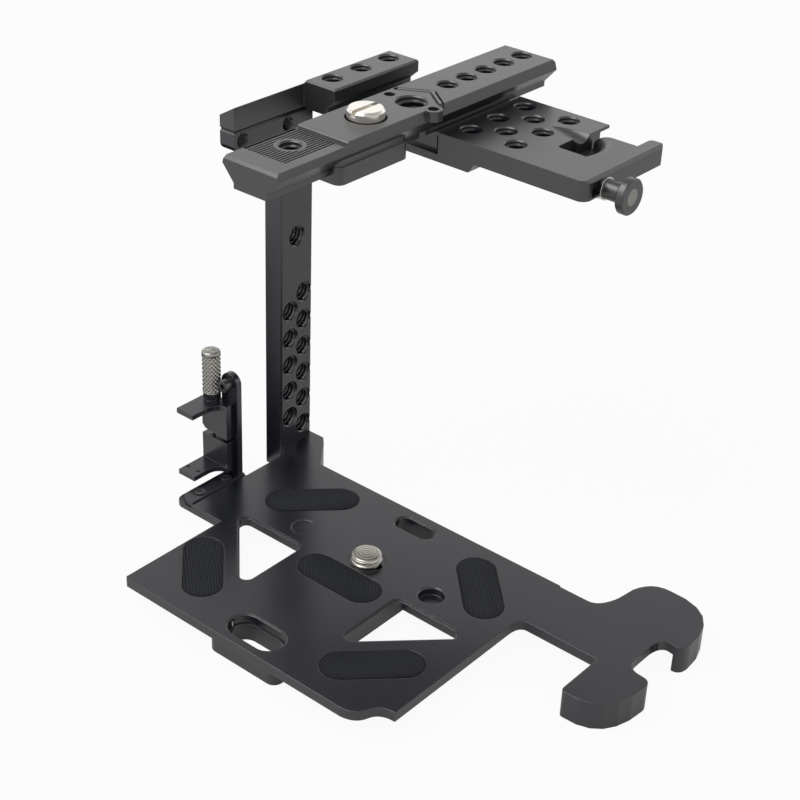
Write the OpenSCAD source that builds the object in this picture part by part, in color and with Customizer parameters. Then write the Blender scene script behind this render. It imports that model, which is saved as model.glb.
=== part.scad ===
// Camera cage: base plate with a cable claw, side bar, two rails, cross plate, pull knob and cable clamp.
// Origin on the axis of the camera screw at the top face of the base plate.
// X runs to the right of the camera, Y to its back, Z up. Millimetres.

/* [Base plate] */
// Width of the base plate beside the cable clamp
plate_width = 98.9; // [98:0.1:101]
// Depth of the base plate, front edge to back edge
plate_depth = 85.8; // [85:0.1:88]
// Thickness of the base plate
plate_thickness = 3.2; // [3:0.1:3.8]
// Height of the feet under the top face of the plate
foot_height = 9; // [8.8:0.1:11]
// Length of each grip pad
pad_length = 30; // [28:0.1:30.5]
// Width of each grip pad
pad_width = 12; // [10:0.1:12.2]
// Height that the camera screw stands above the plate
screw_stand = 3.3; // [3:0.1:4]

/* [Side bar] */
// Thickness of the upright bar
bar_thickness = 7.5; // [7:0.1:9]
// Depth of the upright bar
bar_depth = 14; // [14:0.1:16]
// Height of the top of the arm above the plate
arm_level = 118.1; // [116:0.1:124]
// Distance between neighbouring holes of one column
bar_hole_pitch = 10; // [9.8:0.05:10.2]

/* [Rails] */
// Length of the top rail
rail_length = 128; // [126:1:134]
// Width of the top rail at its widest
rail_width = 21.2; // [21.1:0.05:21.4]
// Distance between neighbouring holes of the top rail
rail_hole_pitch = 9.4; // [9.3:0.05:9.5]
// Length of the wide part of the side rail
side_rail_length = 39.3; // [38.5:0.1:44]
// Distance between neighbouring holes of the side rail
side_hole_pitch = 13.15; // [13:0.05:13.3]

/* [Cross plate] */
// Length of the cross plate to the right of its tongue
cross_length = 54.8; // [54:0.1:58]
// Depth of the cross plate
cross_depth = 42; // [41.8:0.1:46]
// Thickness of the cross plate at its outer end
cross_thickness = 6.4; // [6.2:0.1:6.8]

/* [Pull knob] */
// Diameter of the knob's flange
knob_diameter = 11.1; // [9:0.1:12]
// Thickness of the knob's flange
knob_flange = 2.8; // [2.2:0.1:3.4]
// Length of the knob's stem between the plate and the flange
knob_stand = 6.4; // [6.2:0.1:9]

/* [Cable clamp] */
// Length of each jaw's finger in front of its body
jaw_reach = 11; // [9:0.1:12]
// Height of the clamp's upright above the plate
upright_height = 37.2; // [37:0.1:40]
// Diameter of the thumb screw's knurled head
thumb_diameter = 6.1; // [5.4:0.1:6.2]
// Length of the thumb screw's knurled head
thumb_length = 14.6; // [12:0.1:18]

/* [Hidden] */
$fn = 64;
// Points on each curved stretch of an outline
curve_steps = 6;
// How far a cut runs past the face that it opens
overrun = 0.4;
// Radial gap between a turning or sliding round part and its hole
running_gap = 0.05;
// Gap between flat faces that slide on each other
sliding_gap = 0.05;
// Colours
black = [0.06, 0.06, 0.065];
silver = [0.78, 0.77, 0.74];
pad_black = [0.03, 0.03, 0.03];

// Thread sizes: quarter inch, three eighths of an inch, small screws
quarter = 6.35;
three_eighths = 9.525;
m2 = 2;
m3 = 3;
m3_tapped = 2.5;
m3_clear = 3.4;
m3_head = 5.5;
m3_head_height = 3;
m3_socket = 2.5;
m3_socket_depth = 1.5;
m3_recess = 5.8;
m3_recess_depth = 3.2;
// Depth of the countersunk lip at a tapped hole's mouth
hole_lip = 0.4;

// Base plate: where its edges are
plate_left = -47.4;
plate_back = 30.3;
plate_right = plate_left + plate_width;
plate_front = plate_back - plate_depth;
// Left edge of the back part of the plate, beside the bar
wing_left = -60.1;
// Radius that rounds the corners of the plate's outline
plate_round = 0.8;
// Centre line of the windows, slots and pads, left of the camera screw
pattern_x = -0.4;
// Curve that cuts the front right corner, measured from that corner: every second point bends it
scallop = [[-12.5, 0], [-7.4, 0.6], [-6.3, 4.6], [-5.2, 8.4], [0, 8.4]];
// Triangular windows: their side as a share of the plate's depth, and their inner sides
window_share = 0.317;
window_side = plate_depth * window_share;
window_inner_x = 19.3;
window_back_y = -7.9;
window_round = 2.2;
window_lip = 0.6;
// How far the long side runs inside its round corners, so that they cross cleanly
window_cross = 0.03;
// Slots: centre along Y, length, width
back_slot_y = 23.6;
back_slot = [14.5, 6.3];
// Thicker stretches under the plate: how far they reach down, their width and their two ends along Y
rib_depth = 3;
rib_width = 4;
rib_ends = [-36, 20];
// Width of the thicker border round the back slot
slot_border = 3;
front_slot_inset = 7.9;
front_slot_y = plate_front + front_slot_inset;
front_slot = [19.5, 9.8];
slot_lip = 0.4;
// Blind round holes beside the camera screw
side_hole_x = 26;
side_hole_d = 7.8;
socket_depth = 2.2;
recess_depth = 1.2;
// Depth of the blind recess left of the camera screw
left_recess_depth = 0.3;
// Grip pads: places and the direction of their length
pad_back = [34.2, 13];
pad_front_inset = 19.6;
pad_front = [34, plate_front + pad_front_inset];
pad_middle_y = -12.2;
pad_turn = 45;
pad_thickness = 1.3;
pad_recess = 1;
pad_gap = 0.15;

// Camera screw: bore, clip and head
screw_bore = three_eighths + 2 * running_gap;
screw_neck_d = 8.4;
clip_recess_d = 11.5;
clip_recess_depth = 0.7;
clip_d = 11.3;
clip_thickness = 0.6;
clip_drop = 0.05;
clip_slit = 2.4;
screw_dome = 1.2;
screw_dome_inset = 1;
screw_head_d = 17;
screw_head_height = 4.6;
screw_slot = [1.8, 2];

// Arm and claw, with every X measured from the plate's right edge
arm_front = 9.2;
arm_back = 29.8;
// Size of the bend between the plate's right edge and the arm
arm_fillet = [3, 5];
// Curve from the plate's back edge to the claw
arm_back_curve = [[15.5, 35.5], [13.5, 29.8], [10, 29.8]];
claw_left = 15.5;
claw_overlap = 3;
// Claw's outline as one curve from its near left corner to its far left end: every second point bends it
claw_inner = 27.5;
claw_curve = [[27.5, -7.2], [27.5, -8.8], [29.1, -8.8], [44, -10], [44.3, 8.6], [44.3, 11.6], [41, 11.6],
    [35.5, 11.6], [35.5, 17], [35.5, 21], [35.5, 24.5], [36.1, 30.6], [39.7, 29.4], [43.6, 28.4],
    [43.8, 33], [43.9, 52], [25.5, 50.9], [18.9, 51], [16.8, 43.5], [16.1, 37], [15.5, 35.5]];

// Thick tips of the claw: back end of the near one, left and front ends of the far one, and their reach
near_tip_back = 12.6;
far_tip = [40.5, 24];
claw_tip_reach = 30;

// Foot under the front of the plate
front_foot = [27, 13.6];
front_foot_inset = 8.1;
front_foot_y = plate_front + front_foot_inset;
front_foot_round = 3;
front_foot_screw_x = 11.2;

// Bar: inner face, back edge and lower end
bar_face_x = -64;
bar_front_y = 29.3;
bar_left_x = bar_face_x - bar_thickness;
bar_back_y = bar_front_y + bar_depth;
bar_middle_y = (bar_front_y + bar_back_y) / 2;
bar_edge = 0.5;
bar_holes_back_y = 39.9;
bar_holes_front_y = 33.5;
bar_holes_z = 4.9;
bar_back_count = 6;
bar_front_count = 5;
bar_single = [36.5, 75.9];
arm_thickness = 6;
arm_height = 6.6;
arm_near_y = 9.3;
arm_corner = 2.5;
arm_under = arm_level - arm_height;
arm_hole_d = 3.9;
arm_holes_y = [12.8, 32.2];
arm_hole_drop = 3.1;
seam_groove = 0.9;
bar_screw_drop = 4.6;
bar_screw_y = 3.4;
bar_screw_length = 14;
tab_front_y = 26.2;
tab_left_cut = 2.3;
tab_round_x = -57.6;

// Side rail: section sizes
side_rail_height = 9;
rail_level = arm_level + side_rail_height;
side_rail_right_x = -51.4;
side_plateau_x = -63.2;
side_neck_x = -54.3;
side_lip = 3.9;
side_undercut = 6.5;
side_slope_left_drop = 4.7;
side_slope_right_drop = 1.1;
side_rail_wide_y = 39.3;
side_hole_x2 = -59.1;
side_hole_first = 7.3;
side_end_chamfer = 1;
arm_screws_y = [19, 26];
side_screw_grip = 4.4;

// Top rail: section sizes and the places along it
rail_x = -31;
rail_near_y = -17.6;
rail_far_y = rail_near_y + rail_length;
rail_height = 9.9;
rail_flat_inset = 1.1;
rail_bevel_drop = 3.3;
rail_neck_half = 6.3;
rail_neck_drop = 8.2;
rail_low_end_y = 11.5;
rail_low_drop = 1;
rail_end_chamfer = 1;
rail_holes_y = 67.8;
rail_hole_count = 5;
grip_x = -32.8;
grip_y = 0;
grip_size = [15.8, 20.8];
grip_depth = 0.6;
grip_floor = rail_level - rail_low_drop - grip_depth;
grip_rib = 0.55;
grip_pitch = 1.13;
grip_hole = [-33, 0.4];
grip_ring_d = 9.4;
big_hole = [-29.3, 48.6];
pin_spread = 8.5;
pin_hole_d = 3.4;
pin_hole_depth = 4;
pin_land_d = 5.6;

// Slotted screw on the top rail
rail_screw = [-30.6, 29.6];
rail_screw_d = 11.5;
rail_screw_bore = 12.6;
rail_screw_seat = 3;
rail_screw_stand = 3;
rail_screw_edge = 0.7;
rail_screw_slot = [1.7, 1.6];

// Block that grips the top rail from below
block_half = 9.2;
block_near_y = 8;
block_far_y = 38.7;
block_drop = 5.1;
block_base = 2.6;
block_ledge_drop = 7.1;
block_ledge = 0.6;
block_round = 2.5;

// Hex key in its groove on the top rail
key_d = 1.7;
key_start = [-39.2, 53.9];
key_bend = [-30, 59.4];
key_end = [-21.9, 53.3];
key_groove = 2.3;
key_groove_depth = 1.5;

// Cross plate: sides, steps and features
cross_left_x = -24;
cross_near_y = 54.3;
cross_level = 117.6;
cross_right_x = cross_left_x + cross_length;
cross_far_y = cross_near_y + cross_depth;
cross_round = 3;
cross_edge = 0.5;
step_left_x = -11.2;
step_right_x = -9.1;
step_height = 3.1;
tongue_thickness = 2.4;
tongue_far_y = 92;
notch_wall_x = -23;
lattice_x = [-17.6, -0.9];
lattice_y = [63.3, 76.7, 90.3];
lattice_mid_x = -9.3;
lattice_mid_y = [69.7, 83.6];
end_bevel = 0.9;
// Thin tab at the back: its right end, and the room under it
tab_end_x = 10.2;
tab_room_x = 4;
tab_reach = 4.8;
tab_thickness = 1;
// Step beside the tab and the lug at the right end, measured from the plate's far side
back_step = 8.3;
back_step_y = cross_far_y - back_step;
lug_x = 25.8;
lug_inset = 1;
lug_far_y = cross_far_y - lug_inset;
lug_round = 1.5;
// Scoop beside the tab: centre and radius of its round side, its straight sides, its soft edge
scoop_centre = [4.6, 76.4];
scoop_r = 13;
scoop_soft = 4;
scoop_left_x = 9;
scoop_near_y = 70.4;
scoop_corner_y = 79.5;
scoop_depth = 5.2;
scoop_round = 1.5;
// Round groove that runs down to the scoop: left tip, tilt in degrees, radius, length
groove_tip = [-1.5, 82.2];
groove_tilt = 9.7;
groove_r = 4.5;
groove_length = 13.4;
riser_y = [56, 92];
side_riser_x = [-70, -54.3];
side_riser_far_y = 78;
riser_screws = [[-31, 59.3], [-27, 72.5], [-35, 72.5]];
side_riser_screws = [[-66.4, 59.75], [-66.4, 72.9]];
rail_screw_grip = 5;

// Pull knob: axis, stem, bushing, pin
knob_y = 65;
knob_z = 112.7;
knob_stem_d = 6;
knob_stem_inside = 8;
bushing_d = 7;
bushing_length = 16;
bushing_stand = 0.5;
pin_d = 2.4;
pin_disc_d = 5.2;
pin_disc_depth = 0.6;
pin_reach = 3;
knob_edge = 0.4;
end_pocket = [3, 4.4, 4.4];
end_pocket_y = 57.7;
end_pocket_drop = 1.3;

// Cable clamp: bracket, jaws and screws
lobe_left_x = -68.8;
lobe_near_y = -15.5;
lobe_round = 3.5;
foot_left_x = -66.5;
foot_right_x = -60.8;
foot_top = 0.5;
foot_inset = 0.5;
foot_sink = 1.6;
foot_screws_y = [-9, 2.5];
foot_screw_x = -63.6;
foot_screw_head = 3.8;
foot_screw_head_height = 0.4;
foot_screw_socket = [1.8, 0.3];
upright_x = -65.3;
upright_width = 7;
upright_front_y = 6.6;
upright_thickness = 2;
lobe_far_y = upright_front_y + upright_thickness;
top_screw_drop = 3.5;
top_screw_head = 4;
top_screw_head_height = 3.2;
top_screw_socket = 2;
jaw_left_x = -74.5;
jaw_right_x = -63.3;
jaw_depth = 3.4;
jaw_body_y = upright_front_y - sliding_gap - jaw_depth;
finger_width = 7.2;
finger_thickness = 1.7;
finger_fillet = 4.5;
lower_finger_top = 3.9;
lower_body_top = 13.2;
upper_finger_top = 27;
upper_body_left = 16.6;
upper_body_right = 14.3;
jaw_boss_height = 2.2;
jaw_boss_d = 5.7;
thumb_x = -71.45;
thumb_y = jaw_body_y + jaw_depth / 2;
thumb_shank = 2;
thumb_shank_end = 4.4;
thumb_edge = 0.5;
thumb_slot = [0.8, 1];
jaw_mark = [1.3, 1.3, 0.3];
jaw_marks = [[-73.2, -4.8], [-68.7, -4.6]];

// Flat shape with round ends, along X
module stadium(length, width) {
    square([length - width, width], center = true);
    for (side = [-1, 1])
        translate([side * (length - width) / 2, 0])
            circle(d = width);
}

// Rectangle with round corners, centred
module rounded_rectangle(width, depth, radius) {
    square([width - 2 * radius, depth], center = true);
    square([width, depth - 2 * radius], center = true);
    for (x = [-1, 1])
        for (y = [-1, 1])
            translate([x * (width / 2 - radius), y * (depth / 2 - radius)])
                circle(r = radius);
}

// Cuts a square corner at the origin round, for a body that lies at positive x and y before the turn
module corner_cut(radius, turn) {
    rotate([0, 0, turn])
        difference() {
            translate([-overrun, -overrun])
                square(radius + overrun);
            translate([radius, radius])
                circle(r = radius);
        }
}

// Points along a chain of bends; every second point pulls the curve towards itself
function bend(a, pull, c, t) = (1 - t) * (1 - t) * a + 2 * t * (1 - t) * pull + t * t * c;
function chain(points) = concat(
    [for (i = [0:2:len(points) - 2])
        for (step = [0:curve_steps - 1])
            bend(points[i], points[i + 1], points[i + 2], step / curve_steps)],
    [points[len(points) - 1]]);

// Tapped hole going down from z = 0, with a countersunk lip
module tapped_hole(diameter, depth) {
    translate([0, 0, -depth - overrun])
        cylinder(d = diameter, h = depth + 2 * overrun);
    translate([0, 0, -hole_lip])
        cylinder(d1 = diameter, d2 = diameter + 2 * (hole_lip + overrun), h = hole_lip + overrun);
}

// Bar that cuts a slanted edge, along X, centred on its line
module edge_cutter_x(length, size) {
    rotate([45, 0, 0])
        cube([length, size * sqrt(2), size * sqrt(2)], center = true);
}

// Socket head screw pointing down from z = 0, with its head above
module socket_screw(thread, head, head_height, length, socket) {
    difference() {
        union() {
            cylinder(d = head, h = head_height);
            translate([0, 0, -length])
                cylinder(d = thread, h = length);
        }
        translate([0, 0, head_height - m3_socket_depth])
            cylinder(d = socket, h = m3_socket_depth + overrun, $fn = 6);
    }
}

module m3_screw(length) {
    socket_screw(m3, m3_head, m3_head_height, length, m3_socket);
}

// Camera plate seen from above, without its arm
module plate_outline() {
    difference() {
        union() {
            translate([(plate_left + plate_right) / 2, (plate_front + plate_back) / 2])
                rounded_rectangle(plate_width, plate_depth, plate_round);
            translate([wing_left, upright_front_y])
                square([plate_left - wing_left + 2 * plate_round, plate_back - upright_front_y]);
            difference() {
                translate([lobe_left_x, lobe_near_y])
                    square([plate_left - lobe_left_x + plate_round, lobe_far_y - lobe_near_y]);
                translate([lobe_left_x, lobe_near_y])
                    corner_cut(lobe_round, 0);
            }
        }
        translate([plate_right, plate_front])
            polygon(concat(chain(scallop),
                [[overrun, scallop[4][1]], [overrun, -overrun], [scallop[0][0], -overrun]]));
    }
}

// Tab that reaches the side bar
module tab_outline() {
    polygon([[bar_face_x, bar_front_y + sliding_gap], [wing_left, tab_front_y], [plate_left, tab_front_y],
        [plate_left + overrun, plate_back], [tab_round_x + tab_left_cut, bar_back_y - tab_left_cut],
        [tab_round_x, bar_back_y], [bar_face_x, bar_back_y]]);
}

// Arm seen from above, up to where it runs into the claw
module arm_outline() {
    inside = -plate_round - overrun;
    translate([plate_right, 0])
        polygon(concat([[inside, arm_back], [inside, arm_front - arm_fillet[1]]],
            chain([[0, arm_front - arm_fillet[1]], [0, arm_front], [arm_fillet[0], arm_front]]),
            [[claw_left + claw_overlap, arm_front], [claw_left + claw_overlap, arm_back_curve[0][1]]],
            chain(arm_back_curve)));
}

module claw_outline() {
    translate([plate_right, 0])
        polygon(concat([[claw_left, arm_front], [claw_inner, arm_front]], chain(claw_curve)));
}

// Where the claw is as thick as the feet are high: its near tip and its far tip
module claw_tips() {
    translate([plate_right + claw_inner, -claw_tip_reach])
        square([claw_tip_reach, claw_tip_reach + near_tip_back]);
    translate([plate_right + far_tip[0], far_tip[1]])
        square(claw_tip_reach);
}

// Triangle with round corners, its square corner at the origin
module window(grow) {
    reach = window_round + grow;
    far = window_round * (1 + sqrt(2)) - window_side;
    centres = [[-window_round, -window_round], [far, -window_round], [-window_round, far]];
    slant = [1, 1] * (reach - window_cross) / sqrt(2);
    polygon([centres[0] + [0, reach], centres[1] + [0, reach], centres[1] - slant, centres[2] - slant,
        centres[2] + [reach, 0], centres[0] + [reach, 0]]);
    for (centre = centres)
        translate(centre)
            circle(r = reach);
}

// Opening for one triangular window, with a sunk lip
module window_cut() {
    translate([0, 0, -plate_thickness - overrun])
        linear_extrude(plate_thickness + 2 * overrun)
            window(0);
    translate([0, 0, -window_lip])
        linear_extrude(window_lip + overrun)
            window(window_lip);
}

module slot_cut(slot, depth) {
    translate([0, 0, -depth - overrun])
        linear_extrude(depth + 2 * overrun)
            stadium(slot[0], slot[1]);
    translate([0, 0, -slot_lip])
        linear_extrude(slot_lip + overrun)
            stadium(slot[0] + 2 * slot_lip, slot[1] + 2 * slot_lip);
}

// Places of the five grip pads, with the turn of each
function pad_places() = [
    [pattern_x - pad_back[0], pad_back[1], pad_turn],
    [pattern_x + pad_back[0], pad_back[1], -pad_turn],
    [pattern_x - pad_front[0], pad_front[1], -pad_turn],
    [pattern_x + pad_front[0], pad_front[1], pad_turn],
    [pattern_x, pad_middle_y, 0]];

module grip_pad(place) {
    color(pad_black)
        translate([place[0], place[1], -pad_recess])
            rotate([0, 0, place[2]])
                linear_extrude(pad_thickness)
                    stadium(pad_length, pad_width);
}

module base_plate() {
    color(black)
    difference() {
        union() {
            translate([0, 0, -plate_thickness])
                linear_extrude(plate_thickness) {
                    plate_outline();
                    tab_outline();
                    arm_outline();
                    claw_outline();
                }
            translate([0, 0, -foot_height])
                linear_extrude(foot_height)
                    intersection() {
                        claw_outline();
                        claw_tips();
                    }
            for (side = [-1, 1])
                translate([pattern_x + side * (window_inner_x - rib_width / 2) - rib_width / 2, rib_ends[0],
                    -plate_thickness - rib_depth])
                    cube([rib_width, rib_ends[1] - rib_ends[0], rib_depth + overrun]);
            translate([pattern_x, back_slot_y, -plate_thickness - rib_depth])
                linear_extrude(rib_depth + overrun)
                    stadium(back_slot[0] + 2 * slot_border, back_slot[1] + 2 * slot_border);
            translate([0, 0, -foot_height])
                linear_extrude(foot_height)
                    intersection() {
                        tab_outline();
                        translate([bar_face_x, bar_front_y + sliding_gap])
                            square(bar_depth + bar_thickness);
                    }
        }
        for (side = [-1, 1])
            translate([pattern_x + side * window_inner_x, window_back_y, 0])
                mirror([side < 0 ? 0 : 1, 0, 0])
                    window_cut();
        translate([pattern_x, back_slot_y, 0])
            slot_cut(back_slot, plate_thickness + rib_depth);
        translate([pattern_x, front_slot_y, 0])
            slot_cut(front_slot, plate_thickness);
        translate([pattern_x + side_hole_x, 0, 0])
            tapped_hole(side_hole_d, socket_depth);
        translate([pattern_x - side_hole_x, 0, -left_recess_depth])
            cylinder(d = side_hole_d, h = left_recess_depth + overrun);
        translate([0, 0, -plate_thickness - overrun])
            cylinder(d = screw_bore, h = plate_thickness + 2 * overrun);
        translate([0, 0, -clip_recess_depth])
            cylinder(d = clip_recess_d, h = clip_recess_depth + overrun);
        for (place = pad_places())
            translate([place[0], place[1], -pad_recess])
                rotate([0, 0, place[2]])
                    linear_extrude(pad_recess + overrun)
                        stadium(pad_length + 2 * pad_gap, pad_width + 2 * pad_gap);
        // Seat of the clamp bracket's foot
        translate([lobe_left_x - overrun, lobe_near_y - overrun, -foot_sink])
            cube([foot_right_x - lobe_left_x + overrun, lobe_far_y - lobe_near_y + 2 * overrun,
                foot_sink + overrun]);
        for (y = foot_screws_y)
            translate([foot_screw_x, y, -plate_thickness - overrun])
                cylinder(d = m2, h = plate_thickness + overrun);
        for (side = [-1, 1])
            translate([bar_face_x - overrun, bar_middle_y + side * bar_screw_y, -bar_screw_drop])
                rotate([0, 90, 0])
                    cylinder(d = m3, h = bar_screw_length - bar_thickness + 2 * overrun);
        for (side = [-1, 1])
            translate([pattern_x + side * front_foot_screw_x, front_foot_y, -plate_thickness - overrun])
                cylinder(d = m3, h = plate_thickness - recess_depth + overrun);
    }
}

module front_foot() {
    color(black)
    difference() {
        translate([pattern_x, front_foot_y, -foot_height])
            linear_extrude(foot_height - plate_thickness)
                rounded_rectangle(front_foot[0], front_foot[1], front_foot_round);
        translate([pattern_x, front_slot_y, -plate_thickness])
            translate([0, 0, -foot_height])
                linear_extrude(foot_height + overrun)
                    stadium(front_slot[0] - 2 * slot_lip, front_slot[1] - 2 * slot_lip);
        for (side = [-1, 1])
            translate([pattern_x + side * front_foot_screw_x, front_foot_y, -foot_height - overrun])
                cylinder(d = m3, h = foot_height);
    }
}

module front_foot_screws() {
    color(silver)
    for (side = [-1, 1])
        translate([pattern_x + side * front_foot_screw_x, front_foot_y, -foot_height + foot_top])
            difference() {
                cylinder(d = m3, h = foot_height - foot_top - recess_depth - overrun);
                translate([0, 0, -overrun])
                    cylinder(d = m3 / 2, h = m3_socket_depth, $fn = 6);
            }
}

module camera_screw() {
    color(silver)
    difference() {
        union() {
            translate([0, 0, -plate_thickness - sliding_gap])
                cylinder(d = screw_neck_d, h = plate_thickness + sliding_gap);
            cylinder(d = three_eighths, h = screw_stand - screw_dome);
            translate([0, 0, screw_stand - screw_dome])
                cylinder(d1 = three_eighths, d2 = three_eighths - 2 * screw_dome_inset, h = screw_dome);
            translate([0, 0, -plate_thickness - sliding_gap - screw_head_height])
                cylinder(d = screw_head_d, h = screw_head_height);
        }
        translate([-screw_head_d / 2 - overrun, -screw_slot[0] / 2,
            -plate_thickness - sliding_gap - screw_head_height - overrun])
            cube([screw_head_d + 2 * overrun, screw_slot[0], screw_slot[1] + overrun]);
    }
}

module screw_clip() {
    color(silver)
    translate([0, 0, -clip_drop - clip_thickness])
        difference() {
            cylinder(d = clip_d, h = clip_thickness);
            translate([0, 0, -overrun])
                cylinder(d = screw_neck_d + 2 * running_gap, h = clip_thickness + 2 * overrun);
            translate([0, -clip_slit / 2, -overrun])
                cube([clip_d, clip_slit, clip_thickness + 2 * overrun]);
        }
}

// Tapped hole through the bar, with a lip on its inner face
module bar_hole(y, z, diameter) {
    translate([bar_face_x, y, z])
        rotate([0, 90, 0])
            tapped_hole(diameter, bar_thickness);
}

module seam_cut() {
    translate([bar_face_x, 0, arm_level])
        rotate([0, 45, 0])
            cube([seam_groove, plate_width * 2, seam_groove], center = true);
    translate([bar_face_x, arm_near_y, arm_level])
        rotate([45, 0, 0])
            cube([bar_depth * 2, seam_groove, seam_groove], center = true);
}

module side_bar() {
    color(black)
    difference() {
        union() {
            translate([bar_left_x, bar_front_y, -foot_height])
                linear_extrude(foot_height + arm_level)
                    polygon([[0, bar_edge], [bar_edge, 0], [bar_thickness - bar_edge, 0],
                        [bar_thickness, bar_edge], [bar_thickness, bar_depth], [0, bar_depth]]);
            translate([bar_face_x - arm_thickness, arm_near_y, arm_under])
                difference() {
                    cube([arm_thickness, bar_front_y - arm_near_y + bar_edge, arm_height]);
                    translate([-overrun, -overrun, -overrun])
                        cube([arm_thickness + 2 * overrun, arm_corner + overrun, arm_corner + overrun]);
                }
            translate([bar_face_x - arm_thickness, arm_near_y + arm_corner, arm_under + arm_corner])
                rotate([0, 90, 0])
                    cylinder(r = arm_corner, h = arm_thickness);
        }
        for (i = [0:bar_back_count - 1])
            bar_hole(bar_holes_back_y, bar_holes_z + i * bar_hole_pitch, quarter);
        for (i = [0:bar_front_count - 1])
            bar_hole(bar_holes_front_y, bar_holes_z + (i + 0.5) * bar_hole_pitch, quarter);
        bar_hole(bar_single[0], bar_single[1], quarter);
        for (y = arm_holes_y)
            bar_hole(y, arm_level - arm_hole_drop, arm_hole_d);
        seam_cut();
        for (side = [-1, 1])
            translate([bar_left_x - overrun, bar_middle_y + side * bar_screw_y, -bar_screw_drop])
                rotate([0, 90, 0]) {
                    cylinder(d = m3_recess, h = m3_recess_depth + overrun);
                    cylinder(d = m3_clear, h = bar_thickness + 2 * overrun);
                }
        for (y = arm_screws_y)
            translate([bar_face_x - arm_thickness / 2, y, arm_under - overrun]) {
                cylinder(d = m3_recess, h = m3_recess_depth + overrun);
                cylinder(d = m3_clear, h = arm_height + 2 * overrun);
            }
    }
}

module bar_screws() {
    color(black)
    for (side = [-1, 1])
        translate([bar_left_x + m3_recess_depth, bar_middle_y + side * bar_screw_y, -bar_screw_drop])
            rotate([0, -90, 0])
                m3_screw(bar_screw_length - m3_recess_depth);
}

module arm_screws() {
    color(black)
    for (y = arm_screws_y)
        translate([bar_face_x - arm_thickness / 2, y, arm_under + m3_recess_depth])
            rotate([180, 0, 0])
                m3_screw(arm_height - m3_recess_depth + side_screw_grip);
}

// Sections of the side rail, as X and Z
module side_rail_slim() {
    polygon([[bar_face_x - arm_thickness, arm_level], [bar_face_x, arm_level],
        [bar_face_x, rail_level - side_slope_right_drop],
        [bar_face_x - arm_thickness, rail_level - side_slope_left_drop]]);
}

module side_rail_wide() {
    polygon([[bar_face_x - arm_thickness, arm_level], [side_neck_x, arm_level],
        [side_neck_x, rail_level - side_undercut], [side_rail_right_x, rail_level - side_lip],
        [side_rail_right_x, rail_level - side_end_chamfer / 2],
        [side_rail_right_x - side_end_chamfer / 2, rail_level],
        [side_plateau_x, rail_level], [bar_face_x, rail_level - side_slope_right_drop],
        [bar_face_x - arm_thickness, rail_level - side_slope_left_drop]]);
}

module side_rail() {
    far_y = side_rail_wide_y + side_rail_length;
    color(black)
    difference() {
        union() {
            translate([0, side_rail_wide_y + overrun, 0])
                rotate([90, 0, 0])
                    linear_extrude(side_rail_wide_y - arm_near_y + overrun)
                        side_rail_slim();
            translate([0, far_y, 0])
                rotate([90, 0, 0])
                    linear_extrude(side_rail_length)
                        side_rail_wide();
        }
        for (i = [0:2])
            translate([side_hole_x2, side_rail_wide_y + side_hole_first + i * side_hole_pitch, rail_level])
                tapped_hole(quarter, rail_level - arm_level);
        for (y = [side_rail_wide_y, far_y])
            translate([side_rail_right_x, y, rail_level])
                edge_cutter_x(bar_depth * 3, side_end_chamfer / 2);
        seam_cut();
        for (y = arm_screws_y)
            translate([bar_face_x - arm_thickness / 2, y, arm_level - overrun])
                cylinder(d = m3, h = side_screw_grip + overrun);
        for (place = side_riser_screws)
            translate([place[0], place[1], arm_level - overrun])
                cylinder(d = m3, h = side_screw_grip + overrun);
    }
}

// Section of the top rail, as X and Z, with its top at zero
module rail_section() {
    wide = rail_width / 2;
    polygon([[-rail_neck_half, -rail_height], [rail_neck_half, -rail_height],
        [rail_neck_half, -rail_neck_drop],
        [wide, -rail_bevel_drop], [wide - rail_flat_inset, 0], [rail_flat_inset - wide, 0],
        [-wide, -rail_bevel_drop], [-rail_neck_half, -rail_neck_drop]]);
}

module key_run(from, to, diameter, facets) {
    run = to - from;
    translate([from[0], from[1], 0])
        rotate([0, 90, atan2(run[1], run[0])])
            rotate([0, 0, 30])
                cylinder(d = diameter, h = norm(run), $fn = facets);
}

module key_groove_cut() {
    for (leg = [[key_start, key_bend], [key_bend, key_end]]) {
        run = leg[1] - leg[0];
        translate([(leg[0][0] + leg[1][0]) / 2, (leg[0][1] + leg[1][1]) / 2, -key_groove_depth])
            rotate([0, 0, atan2(run[1], run[0])])
                linear_extrude(key_groove_depth + overrun)
                    stadium(norm(run) + key_groove, key_groove);
    }
}

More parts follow.
